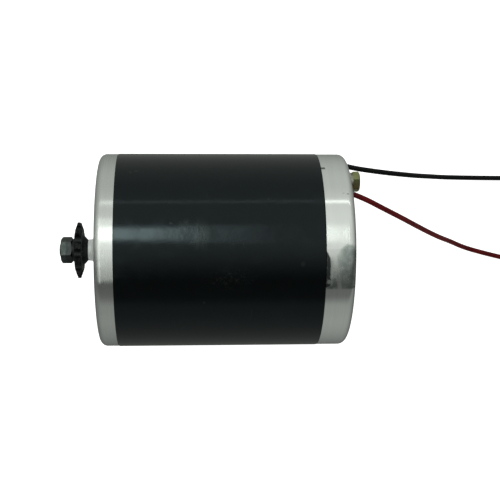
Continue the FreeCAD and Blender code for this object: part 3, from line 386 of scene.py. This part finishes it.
def layered(name, a, b, pitch, r0, r1, metallic=1.0):
    """Thin layers along the shaft, as in stacked sheet."""
    m = Mat(name)
    x, r, an, y, z = m.cylindrical()
    w = m.node("ShaderNodeTexWave", {"wave_type": "BANDS", "bands_direction": "X"}, Vector=m.xyz(x, 0.0, 0.0), Scale=1.0 / pitch / 6.2832 * 6.2832 / 10.0, Distortion=0.0)
    g = m.noise(m.xyz(m.math("MULTIPLY", x, 1.0 / pitch), m.math("MULTIPLY", an, 2.0), r), 1.0, 2.0)
    c = m.mix(m.rng(g, 0.3, 0.7), a + (1,), b + (1,))
    m.set(color=c, metal=metallic, rough=m.rng(g, 0.3, 0.7, r0, r1), normal=m.bump(w.outputs[1], 0.3, 0.0002))
    return m


give(layered("lamination_steel", (0.24, 0.25, 0.27), (0.36, 0.37, 0.38), 0.0006, 0.35, 0.5), "lamination_stack")
give(layered("copper_bars", (0.66, 0.30, 0.16), (0.78, 0.42, 0.25), 0.0015, 0.22, 0.36), "commutator_bars")


def strands(name, a, b, freq, bump, axis="mixed", metallic=0.9, r0=0.25, r1=0.45):
    """Wire laid side by side: the winding and the braided shunts."""
    m = Mat(name)
    x, r, an, y, z = m.cylindrical()
    v = m.xyz(m.math("MULTIPLY", m.math("ADD", x, m.math("MULTIPLY", r, 0.9)), freq), m.math("MULTIPLY", an, freq * 0.012), 0.0)
    g = m.noise(v, 1.0, 2.0, 0.5, 0.6)
    big = m.noise(m.pos(), 90.0, 3.0)
    c = m.mix(m.rng(g, 0.35, 0.65), a + (1,), b + (1,))
    c = m.mix(m.math("MULTIPLY", m.rng(big, 0.5, 0.7), 0.4), c, tuple(0.4 * k for k in a) + (1,))
    m.set(color=c, metal=metallic, rough=m.rng(g, 0.3, 0.7, r0, r1), normal=m.bump(g, bump, 0.0006))
    return m


give(strands("enamelled_wire", (0.30, 0.08, 0.02), (0.62, 0.24, 0.07), 1500.0, 0.6), "armature_winding")
braid = strands("bare_copper_braid", (0.55, 0.24, 0.12), (0.80, 0.45, 0.26), 5200.0, 0.6)
give(braid, "brush_shunt_1", "brush_shunt_2", "brush_shunt_3", "brush_shunt_4")


def plastic(name, a, b, r0, r1, scale=500.0, bump=0.08, speck=None, coat=0.0, spec=0.5):
    m = Mat(name)
    p = m.pos()
    g = m.noise(p, scale, 4.0, 0.6)
    big = m.noise(p, scale * 0.12, 3.0, 0.5, 0.2)
    c = m.mix(m.rng(big, 0.3, 0.7, 0, 1, True), a + (1,), b + (1,))
    if speck:
        c = m.mix(m.math("MULTIPLY", m.rng(m.noise(p, scale * 1.7, 2.0, 0.6), 0.58, 0.7, 0, 1, True), speck[3]), c, speck[:3] + (1,))
    m.set(color=c, metal=0.0, rough=m.rng(g, 0.25, 0.75, r0, r1), coat=coat, spec=spec, normal=m.bump(g, bump, 0.0003))
    return m


give(plastic("fish_paper", (0.50, 0.46, 0.32), (0.62, 0.58, 0.44), 0.6, 0.8, 400.0, 0.15, (0.36, 0.32, 0.2, 0.4)), "end_insulators", "slot_wedges")
give(plastic("phenolic", (0.13, 0.05, 0.02), (0.22, 0.09, 0.035), 0.35, 0.55, 350.0, 0.1, (0.30, 0.14, 0.05, 0.4)), "brush_plate", "brush_plate_spacers", "commutator_core", "front_shaft_spacer")
give(plastic("grommet_rubber", (0.010, 0.010, 0.010), (0.02, 0.02, 0.02), 0.5, 0.7, 700.0, 0.2), "lead_grommets")
give(plastic("nylon_tie", (0.012, 0.012, 0.013), (0.022, 0.022, 0.023), 0.32, 0.45, 700.0, 0.1), *[n for n in N if n.endswith("tie") or n.endswith("ties")])
black_wire = plastic("black_insulation", (0.0018, 0.0022, 0.0021), (0.0034, 0.0040, 0.0038), 0.40, 0.52, 900.0, 0.06, (0.012, 0.012, 0.012, 0.3), 0.0, 0.14)
red_wire = plastic("dark_red_insulation", (0.088, 0.0018, 0.0034), (0.135, 0.0040, 0.0062), 0.40, 0.52, 900.0, 0.06, (0.10, 0.010, 0.012, 0.3), 0.0, 0.14)
give(black_wire, "inner_leads", "brush_jumpers")
give(plastic("black_sleeve", (0.012, 0.012, 0.012), (0.02, 0.02, 0.02), 0.25, 0.35, 600.0, 0.04, None, 0.2), "black_terminal_sleeve")
give(plastic("red_sleeve", (0.30, 0.012, 0.012), (0.40, 0.02, 0.018), 0.25, 0.35, 600.0, 0.04, None, 0.2), "red_terminal_sleeve")

# ------------------------------------------------------------------ free leads
LEAD_D = 2.9
ZS = -Z_OFF + LEAD_D / 2.0
X_EXIT = 83.3
BLACK_ROUTE = [(X_EXIT, 46.8, 7.2), (88.0, 45.62, 7.4), (97.0, 44.27, 7.1), (108.0, 43.17, 4.0), (119.0, 42.94, -5.0), (130.0, 43.23, -18.5), (140.0, 43.99, -33.0),
               (151.0, 44.36, -45.0), (165.0, 44.55, -51.7), (184.0, 44.36, ZS), (202.0, 44.30, ZS)]
RED_ROUTE = [(X_EXIT, 29.25, 35.7), (89.6, 26.83, 35.9), (99.0, 22.23, 33.5), (111.0, 17.18, 26.0), (123.0, 12.62, 13.0), (134.0, 9.18, -3.0),
             (144.0, 6.70, -20.0), (154.0, 4.66, -36.0), (166.0, 0.77, -48.0), (180.0, -2.75, -52.3), (192.5, -5.75, ZS), (204.84, -8.51, ZS)]
COIL_R, COIL_PITCH, TAIL, SLEEVE_L = 15.0, 3.0, 10.5, 10.0
BLACK_COIL = ((209.5, 29.3), 0.0, 2.25)
RED_COIL = ((209.0, -25.0), -14.0, 796.0 / 360.0)


def make_lead(name, route, coil, mat):
    (cx, cy), head, turns = coil
    pts = list(route)
    steps = 27
    step = turns * 360.0 / steps
    rc = COIL_R / math.cos(math.radians(step / 2))
    for k in range(steps):
        t = step * (k + 0.5)
        h = math.radians(head - t)
        pts.append((cx - rc * math.sin(h), cy + rc * math.cos(h), ZS + COIL_PITCH * t / 360.0))
    end_z = ZS + COIL_PITCH * turns
    drop = math.atan((end_z + Z_OFF - 0.75) / (TAIL + SLEEVE_L + 11.5))
    reach = TAIL + 1.5
    pts.append((cx + COIL_R, cy - reach * math.cos(drop), end_z - reach * math.sin(drop)))
    cu = bpy.data.curves.new(name, "CURVE")
    cu.dimensions = "3D"
    sp = cu.splines.new("NURBS")
    sp.points.add(len(pts) - 1)
    for p, q in zip(sp.points, pts):
        v = row(*q)
        p.co = (v.x, v.y, v.z, 1.0)
    sp.order_u = 3
    sp.use_endpoint_u = True
    sp.resolution_u = 10
    cu.resolution_u = 10
    cu.bevel_depth = LEAD_D / 2000.0
    cu.bevel_resolution = 7
    cu.use_fill_caps = True
    cu.materials.append(mat.m)
    ob = bpy.data.objects.new(name, cu)
    scene.collection.objects.link(ob)
    return ob


black = make_lead("black_lead_wire", BLACK_ROUTE, BLACK_COIL, black_wire)
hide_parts("black_lead", "black_lead_coil")
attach(black, "stator")
red = make_lead("red_lead_wire", RED_ROUTE, RED_COIL, red_wire)
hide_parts("red_lead", "red_lead_coil")
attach(red, "stator")

# ------------------------------------------------------------------ brush springs and shunts
# A spring lies between its brush and the end of the box; a shunt runs between the box and the brush.
BOX_FACE, BRUSH_MID, BRUSH_FACE = 54.3, 60.7, 55.7       # along the shaft
BRUSH_BACK, BOX_END, TRAVEL = 32.05, 39.15, 3.0          # out from the shaft axis


def spline(name, pts, steps):
    """A smooth open curve through the frame, from points in metres."""
    cu = bpy.data.curves.new(name, "CURVE")
    cu.dimensions = "3D"
    sp = cu.splines.new("NURBS")
    sp.points.add(len(pts) - 1)
    for p, q in zip(sp.points, pts):
        p.co = (q[0], q[1], q[2], 1.0)
    sp.order_u = 3
    sp.use_endpoint_u = True
    sp.resolution_u = cu.resolution_u = steps
    return cu


def meshed(name, cu, mat=None, depth=0.0):
    """The mesh of a curve: a round wire, or its bare line."""
    cu.bevel_depth = depth
    cu.bevel_resolution = 4
    cu.use_fill_caps = depth > 0
    tmp = bpy.data.objects.new(name + "_line", cu)
    scene.collection.objects.link(tmp)
    bpy.context.view_layer.update()
    me = bpy.data.meshes.new_from_object(tmp.evaluated_get(bpy.context.evaluated_depsgraph_get()))
    bpy.data.objects.remove(tmp)
    me.name = name
    if mat:
        me.materials.clear()
        me.materials.append(mat.m)
    return me


def piece(name, meshes):
    """One object from one or more meshes of the same material."""
    import bmesh
    bm = bmesh.new()
    for me in meshes:
        bm.from_mesh(me)
    out = meshes[0]
    bm.to_mesh(out)
    bm.free()
    out.polygons.foreach_set("use_smooth", [True] * len(out.polygons))
    ob = bpy.data.objects.new(name, out)
    scene.collection.objects.link(ob)
    return ob


EX = Vector((1.0, 0.0, 0.0))
for k in range(4):
    joint = "brush_%d_slide" % (k + 1)
    out = Vector([j for j in frame["joints"] if j["name"] == joint][0]["axis"]).normalized()
    side = EX.cross(out)

    def at(x, r, t=0.0):
        return row(x, 0.0, 0.0) + out * (r / 1000.0) + side * (t / 1000.0)

    # five turns with closed ends
    per, turns = 16, 5.0
    lo, hi = BRUSH_BACK + 0.36, BOX_END - 0.36
    pts = []
    for i in range(int(turns * per) + 1):
        n = i / per
        closed = 0.72 * min(n, 0.8) + 0.72 * max(0.0, n - (turns - 0.8))
        open_ = min(max(n - 0.8, 0.0), turns - 1.6) / (turns - 1.6)
        a = 2 * math.pi * n
        pts.append(at(BRUSH_MID + 2.32 * math.cos(a), lo + closed + (hi - lo - 1.152) * open_, 2.32 * math.sin(a)))
    name = "spring_of_brush_%d" % (k + 1)
    ob = piece(name, [meshed(name, spline(name, pts, 3), spring_steel, 0.00035)])
    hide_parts("brush_spring_%d" % (k + 1))
    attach(ob, "stator")
    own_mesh(ob)

    # four strands laid round one line, from the brush through the slot of its box to the box wall
    name = "shunt_of_brush_%d" % (k + 1)
    line = meshed(name, spline(name, [at(56.3, 29.6), at(54.6, 29.6), at(52.4, 29.55), at(51.55, 30.3), at(51.5, 32.0), at(51.5, 34.0), at(51.55, 36.2),
                                      at(52.2, 37.5), at(53.4, 37.85), at(BOX_FACE - 0.02, 37.9)], 8))
    way = [v.co.copy() for v in line.vertices]
    wires = []
    for w in range(4):
        run, strand = 0.0, []
        for i, p in enumerate(way):
            run += (p - way[i - 1]).length * 1000.0 if i else 0.0
            ahead = (way[min(i + 1, len(way) - 1)] - way[max(i - 1, 0)]).normalized()
            a = 2 * math.pi * (run / 5.5 + w / 4.0)
            strand.append(p + (side * math.cos(a) + ahead.cross(side) * math.sin(a)) * 0.00036)
        wires.append(meshed("%s_%d" % (name, w), spline(name, strand, 2), braid, 0.00031))
    ob = piece(name, wires)
    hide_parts("brush_shunt_%d" % (k + 1))
    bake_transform(ob)

# ------------------------------------------------------------------ floor
fm = Mat("floor")
fm.set(color=(0.86, 0.86, 0.86, 1), rough=0.9, spec=0.2)
fm.p.inputs["Emission Color"].default_value = (1, 1, 1, 1)
fm.p.inputs["Emission Strength"].default_value = 0.95
me = bpy.data.meshes.new("floor")
S = 4.0
me.from_pydata([(-S, -S, 0), (S, -S, 0), (S, S, 0), (-S, S, 0)], [], [(0, 1, 2, 3)])
floor = bpy.data.objects.new("floor", me)
scene.collection.objects.link(floor)
floor.location.z = -0.0004
me.materials.append(fm.m)
floor.visible_glossy = False

# ------------------------------------------------------------------ soft studio light
world = bpy.data.worlds.new("studio")
scene.world = world
world.use_nodes = True
wt = world.node_tree
wt.nodes.clear()
wo = wt.nodes.new("ShaderNodeOutputWorld")
bg = wt.nodes.new("ShaderNodeBackground")
wt.links.new(bg.outputs[0], wo.inputs[0])


def wmath(op, a, b=0.0):
    n = wt.nodes.new("ShaderNodeMath")
    n.operation = op
    for k, v in enumerate((a, b)):
        if isinstance(v, bpy.types.NodeSocket):
            wt.links.new(v, n.inputs[k])
        else:
            n.inputs[k].default_value = v
    return n.outputs[0]


def wrange(v, a, b):
    n = wt.nodes.new("ShaderNodeMapRange")
    wt.links.new(v, n.inputs[0])
    n.inputs[1].default_value, n.inputs[2].default_value = a, b
    return n.outputs[0]


def wramp(angle, stops):
    """Soft brightness steps against an angle in degrees."""
    ramp = wt.nodes.new("ShaderNodeValToRGB")
    wt.links.new(wrange(angle, -math.pi, math.pi), ramp.inputs[0])
    cr = ramp.color_ramp
    cr.interpolation = "EASE"
    while len(cr.elements) > 1:
        cr.elements.remove(cr.elements[-1])
    for i, (deg, v) in enumerate(stops):
        t = (deg + 180.0) / 360.0
        e = cr.elements[0] if i == 0 else cr.elements.new(t)
        e.position = t
        e.color = (v, v, v, 1)
    return ramp.outputs[0]


def wtimes(a, b):
    n = wt.nodes.new("ShaderNodeVectorMath")
    n.operation = "MULTIPLY"
    wt.links.new(a, n.inputs[0])
    if isinstance(b, bpy.types.NodeSocket):
        wt.links.new(b, n.inputs[1])
    else:
        n.inputs[1].default_value = b
    return n.outputs[0]


tc = wt.nodes.new("ShaderNodeTexCoord")
sep = wt.nodes.new("ShaderNodeSeparateXYZ")
wt.links.new(tc.outputs["Generated"], sep.inputs[0])
# A plain room: pale ceiling, darker wall in front, some light back from below, dimmer past the ends of the shaft.
around = wramp(wmath("ARCTAN2", sep.outputs[1], sep.outputs[2]), [(-180, .11), (-95, .29), (-72, .27), (-56, .12), (-38, .10), (10, .66), (40, .66), (85, .47), (180, .21)])
along = wramp(wmath("ARCSINE", sep.outputs[0]), [(-80, .55), (-12, 1.0), (2, 1.0), (14, 1.0), (80, .60)])
wt.links.new(wtimes(wtimes(around, along), (0.94, 1.0, 0.93)), bg.inputs[0])
bg.inputs[1].default_value = 1.0


def area(name, centre, target, sx, sy, radiance, colour=(1, 1, 1)):
    """A rectangular softbox with two sides square to the Y axis."""
    d = bpy.data.lights.new(name, "AREA")
    d.shape = "RECTANGLE"
    d.size, d.size_y = sx, sy
    d.energy = radiance * math.pi * sx * sy
    d.color = colour
    o = bpy.data.objects.new(name, d)
    scene.collection.objects.link(o)
    o.visible_camera = False
    back_axis = (Vector(centre) - Vector(target)).normalized()
    x_axis = Vector((0, 1, 0)).cross(back_axis).normalized()
    y_axis = back_axis.cross(x_axis)
    o.matrix_world = Matrix.Translation(centre) @ Matrix((x_axis, y_axis, back_axis)).transposed().to_4x4()
    return o


area("key_softbox", (-0.16, 0.49, 1.58), (0, 0, 0.054), 0.16, 0.30, 2.5, (0.91, 1.0, 0.93))
area("key_softbox_middle", (-0.15, 0.49, 1.585), (0, 0, 0.054), 0.22, 0.40, 1.6, (0.91, 1.0, 0.93))
area("key_softbox_outer", (-0.13, 0.49, 1.59), (0, 0, 0.054), 0.30, 0.50, 0.8, (0.91, 1.0, 0.93))
area("second_softbox", (-0.06, 0.49, 1.60), (0, 0, 0.054), 0.40, 0.62, 0.55, (0.91, 1.0, 0.93))
area("left_softbox", (-0.62, 0.00, 1.42), (0, 0, 0.054), 0.80, 2.10, 0.8, (0.93, 1.0, 0.93))
area("strip_light", (0.05, 1.25, 0.884), (0, 0, 0.054), 2.00, 0.09, 0.6, (0.93, 1.0, 0.93))

scene.view_settings.view_transform = "Standard"
scene.view_settings.look = "None"
